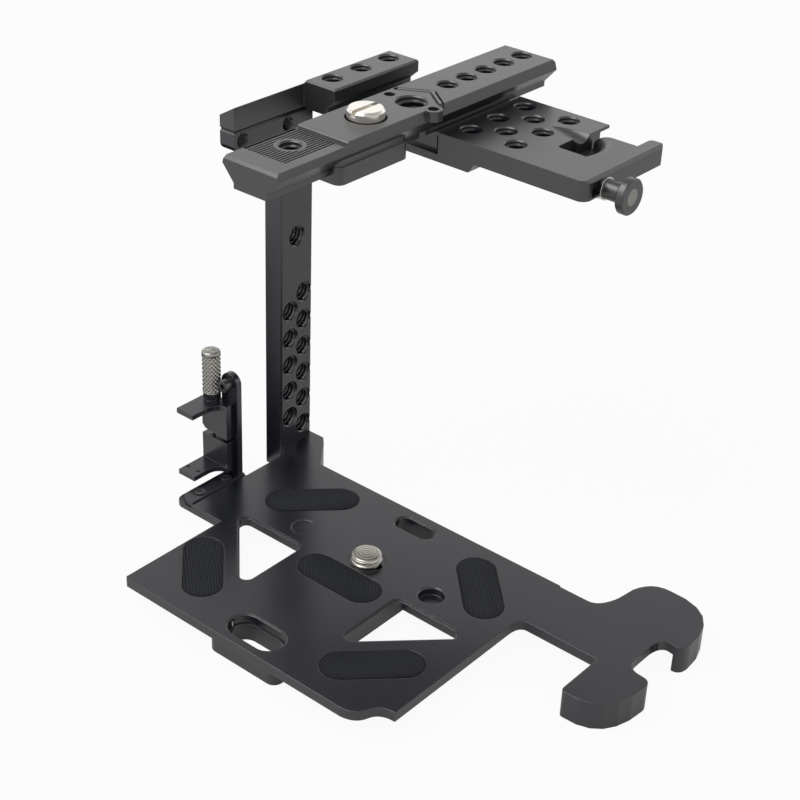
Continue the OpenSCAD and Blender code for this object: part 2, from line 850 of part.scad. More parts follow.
module top_rail() {
    color(black)
    difference() {
        union() {
            translate([rail_x, rail_far_y, rail_level])
                rotate([90, 0, 0])
                    linear_extrude(rail_length)
                        rail_section();
            translate([big_hole[0] + pin_spread, big_hole[1], rail_level - rail_bevel_drop])
                cylinder(d = pin_land_d, h = rail_bevel_drop);
        }
        // Lower near end, with its slanted step
        translate([rail_x - rail_width, rail_near_y - overrun, rail_level - rail_low_drop])
            cube([rail_width * 2, rail_low_end_y - rail_near_y + overrun, rail_low_drop + overrun]);
        translate([rail_x, rail_low_end_y, rail_level])
            edge_cutter_x(rail_width * 2, rail_low_drop / 2);
        translate([rail_x, rail_near_y, rail_level - rail_low_drop])
            edge_cutter_x(rail_width * 2, rail_end_chamfer);
        translate([rail_x, rail_far_y, rail_level])
            edge_cutter_x(rail_width * 2, rail_end_chamfer);
        // Grip field, with its tapped hole inside a plain ring
        difference() {
            translate([grip_x - grip_size[0] / 2, grip_y - grip_size[1] / 2, grip_floor])
                cube([grip_size[0], grip_size[1], grip_depth + overrun]);
            for (x = [-grip_size[0] / 2 + grip_pitch : grip_pitch : grip_size[0] / 2 - grip_rib])
                translate([grip_x + x, grip_y - grip_size[1] / 2, grip_floor - overrun])
                    cube([grip_rib, grip_size[1], grip_depth + overrun]);
            translate([grip_hole[0], grip_hole[1], grip_floor - overrun])
                cylinder(d = grip_ring_d, h = grip_depth + overrun);
        }
        translate([grip_hole[0], grip_hole[1], rail_level - rail_low_drop])
            tapped_hole(quarter, rail_height);
        // Slotted screw's seat and its clearance hole
        translate([rail_screw[0], rail_screw[1], rail_level - rail_screw_seat])
            cylinder(d = rail_screw_bore, h = rail_screw_seat + overrun);
        translate([rail_screw[0], rail_screw[1], rail_level - rail_height - overrun])
            cylinder(d = quarter + 8 * running_gap, h = rail_height);
        // Three eighths hole with a locating hole on each side
        translate([big_hole[0], big_hole[1], rail_level])
            tapped_hole(three_eighths, rail_height);
        for (side = [-1, 1])
            translate([big_hole[0] + side * pin_spread, big_hole[1], rail_level - pin_hole_depth])
                cylinder(d = pin_hole_d, h = pin_hole_depth + overrun);
        for (i = [0:rail_hole_count - 1])
            translate([rail_x, rail_holes_y + i * rail_hole_pitch, rail_level])
                tapped_hole(quarter, rail_height);
        translate([0, 0, rail_level])
            key_groove_cut();
        for (place = riser_screws)
            translate([place[0], place[1], rail_level - rail_height - overrun])
                cylinder(d = m3, h = rail_screw_grip + overrun);
    }
}

module rail_screw() {
    head = rail_screw_seat + rail_screw_stand;
    color(silver)
    translate([rail_screw[0], rail_screw[1], rail_level - rail_screw_seat])
        difference() {
            union() {
                cylinder(d = rail_screw_d, h = head - rail_screw_edge);
                translate([0, 0, head - rail_screw_edge])
                    cylinder(d1 = rail_screw_d, d2 = rail_screw_d - 2 * rail_screw_edge,
                        h = rail_screw_edge);
                translate([0, 0, rail_screw_seat - rail_height - block_base])
                    cylinder(d = quarter - 2 * running_gap, h = rail_height - rail_screw_seat + block_base);
            }
            translate([-rail_screw_slot[0] / 2, -rail_screw_d, head - rail_screw_slot[1]])
                cube([rail_screw_slot[0], rail_screw_d * 2, rail_screw_slot[1] + overrun]);
        }
}

module rail_block() {
    depth = block_far_y - block_near_y;
    mid_y = (block_far_y + block_near_y) / 2;
    base_drop = rail_height + block_base;
    color(black)
    difference() {
        union() {
            translate([rail_x, mid_y, rail_level - base_drop])
                linear_extrude(base_drop - block_drop)
                    rounded_rectangle(2 * block_half, depth, block_round);
            translate([rail_x, mid_y, rail_level - base_drop])
                linear_extrude(base_drop - block_ledge_drop)
                    rounded_rectangle(2 * (block_half + block_ledge), depth, block_round);
        }
        translate([rail_x, block_far_y + overrun, rail_level])
            rotate([90, 0, 0])
                linear_extrude(depth + 2 * overrun)
                    rail_section();
        translate([rail_screw[0], rail_screw[1], rail_level - base_drop - overrun])
            cylinder(d = quarter, h = base_drop);
    }
}

module hex_key() {
    color(black)
    translate([0, 0, rail_level - key_groove_depth + key_d / 2])
        union() {
            key_run(key_start, key_bend, key_d, 6);
            key_run(key_bend, key_end, key_d, 6);
            translate([key_bend[0], key_bend[1], -key_d * cos(30) / 2])
                cylinder(d = key_d, h = key_d * cos(30));
        }
}

// Cross plate seen from above
module cross_outline() {
    difference() {
        union() {
            translate([cross_left_x, cross_near_y])
                square([tab_end_x - cross_left_x, cross_depth]);
            translate([cross_left_x, cross_near_y])
                square([cross_length, back_step_y - cross_near_y]);
            translate([lug_x, back_step_y - overrun])
                square([cross_right_x - lug_x, lug_far_y - back_step_y + overrun]);
        }
        translate([cross_right_x, cross_near_y])
            corner_cut(cross_round, 90);
        translate([cross_right_x, lug_far_y])
            corner_cut(lug_round, 180);
        translate([lug_x, lug_far_y])
            corner_cut(lug_round, 270);
    }
}

// Scoop seen from above, as far out as the given radius
module scoop_outline(radius) {
    intersection() {
        translate(scoop_centre)
            circle(r = radius);
        difference() {
            union() {
                translate([scoop_left_x, scoop_near_y])
                    square(2 * scoop_r);
                translate([tab_end_x, scoop_corner_y])
                    square(2 * scoop_r);
            }
            translate([scoop_left_x - overrun, scoop_corner_y])
                square([tab_end_x - scoop_left_x + overrun, 2 * scoop_r]);
            translate([scoop_left_x, scoop_near_y])
                corner_cut(scoop_round, 0);
        }
    }
}

// Everything that the scoop, its soft edge and its groove take out of the plate, below z = 0
module scoop_cut() {
    translate([0, 0, -scoop_depth])
        linear_extrude(scoop_depth + overrun)
            scoop_outline(scoop_r);
    intersection() {
        translate([scoop_centre[0], scoop_centre[1], 0])
            rotate_extrude()
                difference() {
                    translate([0, -scoop_soft])
                        square([scoop_r + scoop_soft, scoop_soft + overrun]);
                    translate([scoop_r + scoop_soft, -scoop_soft])
                        circle(r = scoop_soft);
                }
        translate([0, 0, -scoop_depth])
            linear_extrude(scoop_depth + 2 * overrun)
                scoop_outline(scoop_r + scoop_soft);
    }
    translate([groove_tip[0], groove_tip[1], 0])
        rotate([0, 90 + groove_tilt, 0])
            translate([-groove_r, 0, -groove_r])
                cylinder(r = groove_r, h = groove_length + groove_r);
}

module cross_plate() {
    riser_half = rail_neck_half;
    tongue_level = cross_level - cross_thickness - step_height;
    color(black)
    difference() {
        union() {
            translate([0, 0, cross_level - cross_thickness])
                linear_extrude(cross_thickness)
                    cross_outline();
            // Thicker left part with its slanted end
            translate([0, cross_far_y, 0])
                rotate([90, 0, 0])
                    linear_extrude(cross_depth)
                        polygon([[cross_left_x, tongue_level], [step_left_x, tongue_level],
                            [step_right_x, cross_level - cross_thickness],
                            [step_right_x, cross_level - cross_thickness + cross_edge],
                            [cross_left_x, cross_level - cross_thickness + cross_edge]]);
            // Tongue that runs under the top rail to the side rail
            translate([side_riser_x[0], cross_near_y, tongue_level])
                cube([cross_left_x - side_riser_x[0] + overrun, tongue_far_y - cross_near_y,
                    tongue_thickness]);
            translate([rail_x - riser_half, riser_y[0], tongue_level])
                cube([2 * riser_half, riser_y[1] - riser_y[0], rail_level - rail_height - tongue_level]);
            translate([side_riser_x[0], cross_near_y, tongue_level])
                cube([side_riser_x[1] - side_riser_x[0], side_riser_far_y - cross_near_y,
                    arm_level - tongue_level]);
        }
        // Notch above the tongue at the near left corner
        translate([cross_left_x - overrun, cross_near_y - overrun, tongue_level + tongue_thickness])
            cube([notch_wall_x - cross_left_x + overrun, cross_round + overrun,
                cross_thickness + step_height - tongue_thickness - 2 * cross_edge]);
        for (x = lattice_x)
            for (y = lattice_y)
                translate([x, y, cross_level])
                    tapped_hole(quarter, cross_thickness + step_height);
        for (y = lattice_mid_y)
            translate([lattice_mid_x, y, cross_level])
                tapped_hole(quarter, cross_thickness + step_height);
        translate([0, 0, cross_level])
            scoop_cut();
        // Room under the tab
        translate([tab_room_x, cross_far_y - tab_reach, cross_level - cross_thickness - overrun])
            cube([tab_end_x - tab_room_x + overrun, tab_reach + overrun,
                cross_thickness - tab_thickness + overrun]);
        // Bevel along the right end
        translate([cross_right_x, back_step_y, cross_level])
            rotate([0, 0, 90])
                edge_cutter_x(cross_depth * 2, end_bevel);
        // Bore of the knob's bushing and the pocket beside it
        translate([cross_right_x - bushing_length, knob_y, knob_z])
            rotate([0, 90, 0])
                cylinder(d = bushing_d, h = bushing_length + overrun);
        translate([cross_right_x - bushing_length - knob_stem_inside, knob_y, knob_z])
            rotate([0, 90, 0])
                cylinder(d = pin_d + 2 * running_gap, h = knob_stem_inside + overrun);
        translate([cross_right_x - end_pocket[0], end_pocket_y,
            cross_level - end_pocket_drop - end_pocket[2]])
            cube([end_pocket[0] + overrun, end_pocket[1], end_pocket[2]]);
        // Screws that hold the two rails
        for (place = concat(riser_screws, side_riser_screws))
            translate([place[0], place[1], tongue_level - overrun]) {
                cylinder(d = m3_recess, h = m3_recess_depth + overrun);
                cylinder(d = m3_clear, h = rail_level - tongue_level);
            }
    }
}

module rail_bolts() {
    start = cross_level - cross_thickness - step_height + m3_recess_depth;
    color(black)
    for (place = riser_screws)
        translate([place[0], place[1], start])
            rotate([180, 0, 0])
                m3_screw(rail_level - rail_height + rail_screw_grip - start);
}

module side_rail_bolts() {
    start = cross_level - cross_thickness - step_height + m3_recess_depth;
    color(black)
    for (place = side_riser_screws)
        translate([place[0], place[1], start])
            rotate([180, 0, 0])
                m3_screw(arm_level + side_screw_grip - start);
}

// Places its children on the knob's axis, z along +X, zero at the plate's end face
module on_knob_axis() {
    translate([cross_right_x, knob_y, knob_z])
        rotate([0, 90, 0])
            children();
}

module pull_knob() {
    color(black)
    on_knob_axis()
        difference() {
            union() {
                translate([0, 0, -knob_stem_inside])
                    cylinder(d = knob_stem_d, h = knob_stem_inside + knob_stand + knob_edge);
                translate([0, 0, knob_stand])
                    cylinder(d1 = knob_diameter - 2 * knob_edge, d2 = knob_diameter, h = knob_edge);
                translate([0, 0, knob_stand + knob_edge])
                    cylinder(d = knob_diameter, h = knob_flange - 2 * knob_edge);
                translate([0, 0, knob_stand + knob_flange - knob_edge])
                    cylinder(d1 = knob_diameter, d2 = knob_diameter - 2 * knob_edge, h = knob_edge);
            }
            translate([0, 0, knob_stand + knob_flange - 2 * pin_disc_depth])
                cylinder(d = pin_disc_d, h = 2 * pin_disc_depth + overrun);
            translate([0, 0, -knob_stem_inside - overrun])
                cylinder(d = pin_d, h = knob_stem_inside + knob_stand + knob_flange);
        }
}

module knob_pin() {
    color(silver)
    on_knob_axis() {
        translate([0, 0, knob_stand + knob_flange - 2 * pin_disc_depth])
            cylinder(d = pin_disc_d, h = 2 * pin_disc_depth - sliding_gap);
        translate([0, 0, -bushing_length - pin_reach])
            cylinder(d = pin_d,
                h = bushing_length + pin_reach + knob_stand + knob_flange - 2 * pin_disc_depth);
    }
}

module knob_bushing() {
    color(silver)
    on_knob_axis()
        translate([0, 0, -bushing_length])
            difference() {
                cylinder(d = bushing_d, h = bushing_length + bushing_stand);
                translate([0, 0, -overrun])
                    cylinder(d = knob_stem_d + 2 * running_gap,
                        h = bushing_length + bushing_stand + 2 * overrun);
            }
}

module clamp_bracket() {
    color(black)
    difference() {
        union() {
            translate([0, 0, -foot_sink])
                linear_extrude(foot_sink + foot_top)
                    difference() {
                        translate([foot_left_x, lobe_near_y + foot_inset])
                            square([foot_right_x - foot_left_x, lobe_far_y - lobe_near_y - foot_inset]);
                        translate([foot_left_x, lobe_near_y + foot_inset])
                            corner_cut(lobe_round, 0);
                    }
            translate([upright_x - upright_width / 2, upright_front_y, -foot_sink])
                cube([upright_width, upright_thickness, foot_sink + upright_height - upright_width / 2]);
            translate([upright_x, upright_front_y + upright_thickness, upright_height - upright_width / 2])
                rotate([90, 0, 0])
                    cylinder(d = upright_width, h = upright_thickness);
        }
        for (y = foot_screws_y)
            translate([foot_screw_x, y, -foot_sink - overrun])
                cylinder(d = m2 + 4 * running_gap, h = foot_sink + foot_top + 2 * overrun);
        translate([upright_x, upright_front_y - overrun, upright_height - top_screw_drop])
            rotate([-90, 0, 0])
                cylinder(d = m2, h = upright_thickness + 2 * overrun);
    }
}

module clamp_foot_screws() {
    color(black)
    for (y = foot_screws_y)
        translate([foot_screw_x, y, foot_top])
            difference() {
                union() {
                    cylinder(d = foot_screw_head, h = foot_screw_head_height);
                    translate([0, 0, -foot_top - plate_thickness])
                        cylinder(d = m2, h = foot_top + plate_thickness);
                }
                translate([0, 0, foot_screw_head_height - foot_screw_socket[1]])
                    cylinder(d = foot_screw_socket[0], h = foot_screw_head_height, $fn = 6);
            }
}

module clamp_top_screw() {
    color(black)
    translate([upright_x, upright_front_y, upright_height - top_screw_drop])
        rotate([90, 0, 0])
            socket_screw(m2, top_screw_head, top_screw_head_height, upright_thickness, top_screw_socket);
}

// Finger and body of a jaw seen from above
module jaw_outline() {
    finger_right = jaw_left_x + finger_width;
    difference() {
        union() {
            translate([jaw_left_x, jaw_body_y - jaw_reach])
                square([finger_width, jaw_reach + jaw_depth]);
            translate([jaw_left_x, jaw_body_y])
                square([jaw_right_x - jaw_left_x, jaw_depth]);
            translate([finger_right - overrun, jaw_body_y - finger_fillet])
                square([finger_fillet + overrun, finger_fillet + overrun]);
        }
        translate([finger_right + finger_fillet, jaw_body_y - finger_fillet])
            circle(r = finger_fillet);
        translate([finger_right + finger_fillet, jaw_body_y - 2 * finger_fillet])
            square([finger_fillet, 2 * finger_fillet]);
    }
}

module thumb_hole(diameter) {
    translate([thumb_x, thumb_y, -foot_height])
        cylinder(d = diameter, h = arm_level);
}

module clamp_lower_jaw() {
    color(black)
    difference() {
        union() {
            translate([0, 0, lower_finger_top - finger_thickness])
                linear_extrude(finger_thickness)
                    jaw_outline();
            translate([jaw_left_x, jaw_body_y, lower_finger_top - finger_thickness])
                cube([jaw_right_x - jaw_left_x, jaw_depth + sliding_gap,
                    lower_body_top - lower_finger_top + finger_thickness]);
        }
        thumb_hole(thumb_shank + 2 * running_gap);
        for (mark = jaw_marks)
            translate([mark[0], mark[1], lower_finger_top - jaw_mark[2]])
                translate([-jaw_mark[0] / 2, -jaw_mark[1] / 2, 0])
                    cube([jaw_mark[0], jaw_mark[1], jaw_mark[2] + overrun]);
    }
}

module clamp_upper_jaw() {
    color(black)
    difference() {
        union() {
            translate([0, 0, upper_finger_top - finger_thickness])
                linear_extrude(finger_thickness)
                    jaw_outline();
            translate([0, jaw_body_y + jaw_depth, 0])
                rotate([90, 0, 0])
                    linear_extrude(jaw_depth)
                        polygon([[jaw_left_x, upper_finger_top], [jaw_left_x, upper_body_left],
                            [jaw_left_x + jaw_mark[0], upper_body_left - jaw_mark[0]],
                            [jaw_right_x, upper_body_right], [jaw_right_x, upper_finger_top]]);
            translate([thumb_x, thumb_y, upper_finger_top - finger_thickness])
                cylinder(d = jaw_boss_d, h = finger_thickness + jaw_boss_height);
        }
        thumb_hole(thumb_shank + 2 * running_gap);
    }
}

module thumb_screw() {
    head_z = upper_finger_top + jaw_boss_height + sliding_gap;
    top_z = head_z + thumb_length + thumb_edge;
    color(silver)
    difference() {
        union() {
            translate([thumb_x, thumb_y, head_z])
                cylinder(d = thumb_diameter, h = thumb_length);
            translate([thumb_x, thumb_y, head_z + thumb_length])
                cylinder(d1 = thumb_diameter, d2 = thumb_diameter - 2 * thumb_edge, h = thumb_edge);
            translate([thumb_x, thumb_y, thumb_shank_end])
                cylinder(d = thumb_shank, h = head_z - thumb_shank_end);
        }
        translate([thumb_x - thumb_diameter, thumb_y - thumb_slot[0] / 2, top_z - thumb_slot[1]])
            cube([thumb_diameter * 2, thumb_slot[0], thumb_slot[1] + overrun]);
    }
}

module pad_back_left() { grip_pad(pad_places()[0]); }
module pad_back_right() { grip_pad(pad_places()[1]); }
module pad_front_left() { grip_pad(pad_places()[2]); }
module pad_front_right() { grip_pad(pad_places()[3]); }
module pad_middle() { grip_pad(pad_places()[4]); }

base_plate();
front_foot();
front_foot_screws();
camera_screw();
screw_clip();
pad_back_left();
pad_back_right();
pad_front_left();
pad_front_right();
pad_middle();
side_bar();
bar_screws();
side_rail();
arm_screws();
top_rail();
rail_screw();
rail_block();
hex_key();
cross_plate();
rail_bolts();
side_rail_bolts();
pull_knob();
knob_pin();
knob_bushing();
clamp_bracket();
clamp_foot_screws();
clamp_top_screw();
clamp_lower_jaw();
clamp_upper_jaw();
thumb_screw();
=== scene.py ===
# Camera cage: a half cage of machined aluminium, seen as in the photograph.
import math

import bmesh
import bpy
from mathutils import Matrix, Vector


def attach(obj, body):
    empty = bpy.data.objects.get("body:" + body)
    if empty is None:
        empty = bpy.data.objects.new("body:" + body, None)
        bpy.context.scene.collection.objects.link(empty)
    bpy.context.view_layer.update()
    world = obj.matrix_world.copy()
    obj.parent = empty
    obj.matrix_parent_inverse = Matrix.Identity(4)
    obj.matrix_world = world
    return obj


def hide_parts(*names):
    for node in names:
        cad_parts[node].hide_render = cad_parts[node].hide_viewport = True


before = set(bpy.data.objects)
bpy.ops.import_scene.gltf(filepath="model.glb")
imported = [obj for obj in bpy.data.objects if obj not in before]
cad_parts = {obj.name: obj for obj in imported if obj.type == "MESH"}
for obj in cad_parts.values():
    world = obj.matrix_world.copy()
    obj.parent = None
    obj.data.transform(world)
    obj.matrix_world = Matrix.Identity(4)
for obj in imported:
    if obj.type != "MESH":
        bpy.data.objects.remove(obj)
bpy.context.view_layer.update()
MM = 0.001


# Camera.
# It stands to the right and in front of the cage, above the rails, with a long lens
# as for a catalogue picture.
camera_place = Vector((270.49, -320.71, 306.35)) * MM
camera_right = Vector((0.76281692, 0.64563479, 0.03558179))
camera_down = Vector((0.35311419, -0.36984276, -0.85937576))
camera_forward = Vector((-0.54168323, 0.66811080, -0.51010512))
lens_data = bpy.data.cameras.new("camera")
lens_data.lens = 76.09
lens_data.sensor_width = 36.0
lens_data.clip_start = 0.01
lens_data.clip_end = 50.0
camera = bpy.data.objects.new("camera", lens_data)
turn = Matrix((camera_right, -camera_down, -camera_forward)).transposed().to_4x4()
camera.matrix_world = Matrix.Translation(camera_place) @ turn
bpy.context.scene.collection.objects.link(camera)
bpy.context.scene.camera = camera


# Studio.
# A white table under a white tent: dim at its foot, bright above that, greyer overhead, with
# one broad soft lamp above the front left. The table is the floor at the level of the feet.
def shader(name):
    """A new material with a Principled BSDF: the material, its nodes, its links and the shader."""
    material = bpy.data.materials.new(name)
    material.use_nodes = True
    nodes, links = material.node_tree.nodes, material.node_tree.links
    return material, nodes, links, nodes["Principled BSDF"]


bpy.context.scene.view_settings.view_transform = "Standard"
rest_level = -9.0 * MM
# Light of the tent: overhead, at its brightest lower down, and the share of it left at its foot.
# The heights are sines of the elevation.
zenith_level = 0.6
bright_level = 1.85
foot_share = 0.28
bright_heights = (0.22, 0.72)
foot_heights = (0.05, 0.26)
world = bpy.data.worlds.new("tent")
bpy.context.scene.world = world
world.use_nodes = True
wn, wl = world.node_tree.nodes, world.node_tree.links
wn.clear()
direction = wn.new("ShaderNodeTexCoord")
height = wn.new("ShaderNodeSeparateXYZ")
wl.new(direction.outputs["Generated"], height.inputs[0])


def tent_change(heights, low, high):
    """A smooth change of the tent's light from low to high between two heights."""
    made = wn.new("ShaderNodeMapRange")
    made.interpolation_type = "SMOOTHSTEP"
    for socket, value in zip(("From Min", "From Max", "To Min", "To Max"), (*heights, low, high)):
        made.inputs[socket].default_value = value
    wl.new(height.outputs["Z"], made.inputs["Value"])
    return made.outputs[0]


tent_product = wn.new("ShaderNodeMath")
tent_product.operation = "MULTIPLY"
wl.new(tent_change(bright_heights, bright_level, zenith_level), tent_product.inputs[0])
wl.new(tent_change(foot_heights, foot_share, 1.0), tent_product.inputs[1])
seen = wn.new("ShaderNodeLightPath")
tent_light = wn.new("ShaderNodeBackground")
tent_white = wn.new("ShaderNodeBackground")
tent_choice = wn.new("ShaderNodeMixShader")
tent_out = wn.new("ShaderNodeOutputWorld")
wl.new(tent_product.outputs[0], tent_light.inputs["Strength"])
wl.new(seen.outputs["Is Camera Ray"], tent_choice.inputs["Fac"])
wl.new(tent_light.outputs[0], tent_choice.inputs[1])
wl.new(tent_white.outputs[0], tent_choice.inputs[2])
wl.new(tent_choice.outputs[0], tent_out.inputs["Surface"])
tent_white.inputs["Color"].default_value = (1, 1, 1, 1)

lamp_place = Vector((-0.35, -0.45, 1.0))
lamp_target = Vector((0, 0, 0.05))
lamp_data = bpy.data.lights.new("soft_lamp", "AREA")
lamp_data.shape = "DISK"
lamp_data.size = 0.9
lamp_data.energy = 7.0
lamp = bpy.data.objects.new("soft_lamp", lamp_data)
lamp.location = lamp_place
lamp.rotation_mode = "QUATERNION"
lamp.rotation_quaternion = (lamp_place - lamp_target).to_track_quat("Z", "Y")
bpy.context.scene.collection.objects.link(lamp)


def paper(name, tone):
    """Matt paper of one tone: the material, its nodes, its links and its shader."""
    material, nodes, links, skin = shader(name)
    skin.inputs["Base Color"].default_value = (*tone, 1)
    skin.inputs["Roughness"].default_value = 0.9
    skin.inputs["Specular IOR Level"].default_value = 0.1
    return material, nodes, links, skin


def flat_sheet(name, outline, material):
    """A flat staged sheet with the given corners."""
    mesh = bpy.data.meshes.new(name)
    mesh.from_pydata(outline, [], [tuple(range(len(outline)))])
    mesh.materials.append(material)
    sheet = bpy.data.objects.new(name, mesh)
    bpy.context.scene.collection.objects.link(sheet)
    return sheet


table_half = 3.0
# Shares of plain white that the table shows to the camera and in mirrored rays
seen_white, mirrored_white = 0.94, 0.3
table_white, nodes, links, skin = paper("table_white", (0.52, 0.52, 0.52))
glow = nodes.new("ShaderNodeEmission")
blend = nodes.new("ShaderNodeMixShader")
path = nodes.new("ShaderNodeLightPath")
seen_share = nodes.new("ShaderNodeMath")
seen_share.operation = "MULTIPLY"
seen_share.inputs[1].default_value = seen_white
mirrored_share = nodes.new("ShaderNodeMath")
mirrored_share.operation = "MULTIPLY_ADD"
mirrored_share.inputs[1].default_value = mirrored_white
links.new(path.outputs["Is Camera Ray"], seen_share.inputs[0])
links.new(path.outputs["Is Glossy Ray"], mirrored_share.inputs[0])
links.new(seen_share.outputs[0], mirrored_share.inputs[2])
links.new(mirrored_share.outputs[0], blend.inputs["Fac"])
links.new(skin.outputs[0], blend.inputs[1])
links.new(glow.outputs[0], blend.inputs[2])
links.new(blend.outputs[0], nodes["Material Output"].inputs["Surface"])
table_signs = ((-1, -1), (1, -1), (1, 1), (-1, 1))
flat_sheet("table", [(x * table_half, y * table_half, rest_level) for x, y in table_signs], table_white)

# A black sheet lies on the table behind the clamp, out of the picture. It is only there for
# mirrored rays: a painted dark reflection that gives the upright bar its dark side.
dark_reflection_level = -8.9 * MM
dark_reflection_outline = ((-76, 6), (-190, -90), (-330, -20), (-330, 160), (-71.8, 130), (-71.8, 12))
dark_reflection_sheet = flat_sheet("dark_reflection_sheet", [(x * MM, y * MM, dark_reflection_level) for x, y in dark_reflection_outline[::-1]],
                        paper("dark_reflection_black", (0.004, 0.004, 0.006))[0])
for ray in ("camera", "diffuse", "transmission", "volume_scatter", "shadow"):
    setattr(dark_reflection_sheet, "visible_" + ray, False)


# Black anodised aluminium: the plate, foot, bar, rails, block, cross plate, knob and clamp.
# Milled, with edges barely broken, blasted to a fine grain and anodised satin black. The clear
# oxide gleams at low angles; the rails, block, cross plate and knob are blasted coarser.
def group(name, inputs, outputs):
    """A shader node group with the given sockets: the group, its nodes, links, input and output node."""
    made = bpy.data.node_groups.new(name, "ShaderNodeTree")
    for label, kind, value in inputs:
        socket = made.interface.new_socket(label, in_out="INPUT", socket_type=kind)
        socket.default_value = value
    for label, kind in outputs:
        made.interface.new_socket(label, in_out="OUTPUT", socket_type=kind)
    enter = made.nodes.new("NodeGroupInput")
    leave = made.nodes.new("NodeGroupOutput")
    return made, made.nodes, made.links, enter, leave


def broken_edges():
    """Edges rounded over a small width, and where they are."""
    made, nodes, links, enter, leave = group(
        "broken_edges", [("Width", "NodeSocketFloat", 0.0002)],
        [("Normal", "NodeSocketVector"), ("Edge", "NodeSocketFloat")])
    bevel = nodes.new("ShaderNodeBevel")
    bevel.samples = 6
    plain = nodes.new("ShaderNodeNewGeometry")
    same = nodes.new("ShaderNodeVectorMath")
    same.operation = "DOT_PRODUCT"
    edge = nodes.new("ShaderNodeMapRange")
    edge.inputs["From Min"].default_value = 0.985
    edge.inputs["From Max"].default_value = 0.86
    links.new(enter.outputs["Width"], bevel.inputs["Radius"])
    links.new(bevel.outputs[0], same.inputs[0])
    links.new(plain.outputs["Normal"], same.inputs[1])
    links.new(same.outputs["Value"], edge.inputs["Value"])
    links.new(bevel.outputs[0], leave.inputs["Normal"])
    links.new(edge.outputs[0], leave.inputs["Edge"])
    return made


def blasted_grain():
    """Fine grain of bead blasting, and slow clouds of tone left by handling."""
    made, nodes, links, enter, leave = group(
        "blasted_grain", [("Grains per metre", "NodeSocketFloat", 5000.0)],
        [("Height", "NodeSocketFloat"), ("Cloud", "NodeSocketFloat")])
    place = nodes.new("ShaderNodeTexCoord")
    grain = nodes.new("ShaderNodeTexNoise")
    grain.inputs["Detail"].default_value = 2.0
    cloud = nodes.new("ShaderNodeTexNoise")
    cloud.inputs["Scale"].default_value = 45.0
    cloud.inputs["Detail"].default_value = 4.0
    links.new(place.outputs["Object"], grain.inputs["Vector"])
    links.new(place.outputs["Object"], cloud.inputs["Vector"])
    links.new(enter.outputs["Grains per metre"], grain.inputs["Scale"])
    links.new(grain.outputs["Fac"], leave.inputs["Height"])
    links.new(cloud.outputs["Fac"], leave.inputs["Cloud"])
    return made


edges_group, grain_group = broken_edges(), blasted_grain()


def place_group(nodes, tree, **values):
    """A group's node in a material, with its own values."""
    made = nodes.new("ShaderNodeGroup")
    made.node_tree = tree
    for label, value in values.items():
        made.inputs[label.replace("_", " ")].default_value = value
    return made


def mixed_colour(nodes, links, factor, low, high):
    """A colour that goes from low to high with a factor."""
    made = nodes.new("ShaderNodeMix")
    made.data_type = "RGBA"
    made.inputs["A"].default_value = (*low, 1)
    made.inputs["B"].default_value = (*high, 1)
    links.new(factor, made.inputs["Factor"])
    return made.outputs["Result"]


def ranged(nodes, links, factor, low, high):
    """A number that goes from low to high with a factor."""
    made = nodes.new("ShaderNodeMapRange")
    made.inputs["To Min"].default_value = low
    made.inputs["To Max"].default_value = high
    links.new(factor, made.inputs["Value"])
    return made.outputs[0]


def grained_metal(name, tones, roughness, grain_depth, grains, edge_width, index, metallic=0.0):
    """Metal with blasted grain: its darker and lighter tones, the tone of a painted highlight on its edges,
    and its roughness from and to.
    """
    material, nodes, links, skin = shader(name)
    edges = place_group(nodes, edges_group, Width=edge_width)
    grain = place_group(nodes, grain_group, Grains_per_metre=grains)
    body = mixed_colour(nodes, links, grain.outputs["Cloud"], tones[0], tones[1])
    # A painted highlight: the edges take the lighter edge tone over the bevel's width.
    edge_highlight = nodes.new("ShaderNodeMix")
    edge_highlight.data_type = "RGBA"
    edge_highlight.inputs["B"].default_value = (*tones[2], 1)
    links.new(edges.outputs["Edge"], edge_highlight.inputs["Factor"])
    links.new(body, edge_highlight.inputs["A"])
    links.new(edge_highlight.outputs["Result"], skin.inputs["Base Color"])
    links.new(ranged(nodes, links, grain.outputs["Cloud"], *roughness), skin.inputs["Roughness"])
    bump = nodes.new("ShaderNodeBump")
    bump.inputs["Distance"].default_value = grain_depth
    bump.inputs["Strength"].default_value = 1.0
    links.new(grain.outputs["Height"], bump.inputs["Height"])
    links.new(edges.outputs["Normal"], bump.inputs["Normal"])
    links.new(bump.outputs[0], skin.inputs["Normal"])
    skin.inputs["IOR"].default_value = index
    skin.inputs["Metallic"].default_value = metallic
    return material


GRAINS = 5200.0
OXIDE_INDEX = 1.77
black_anodised = grained_metal(
    "black_anodised", [(0.0042, 0.0052, 0.0098), (0.0066, 0.0074, 0.0122), (0.022, 0.0225, 0.026)],
    (0.2, 0.28), 0.000003, GRAINS, 0.00022, OXIDE_INDEX)


def finish_nodes(names, material):
    """Gives CAD nodes that are shown as they are their material."""
    for name in names:
        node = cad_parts[name]
        node.data.materials.clear()
        node.data.materials.append(material)


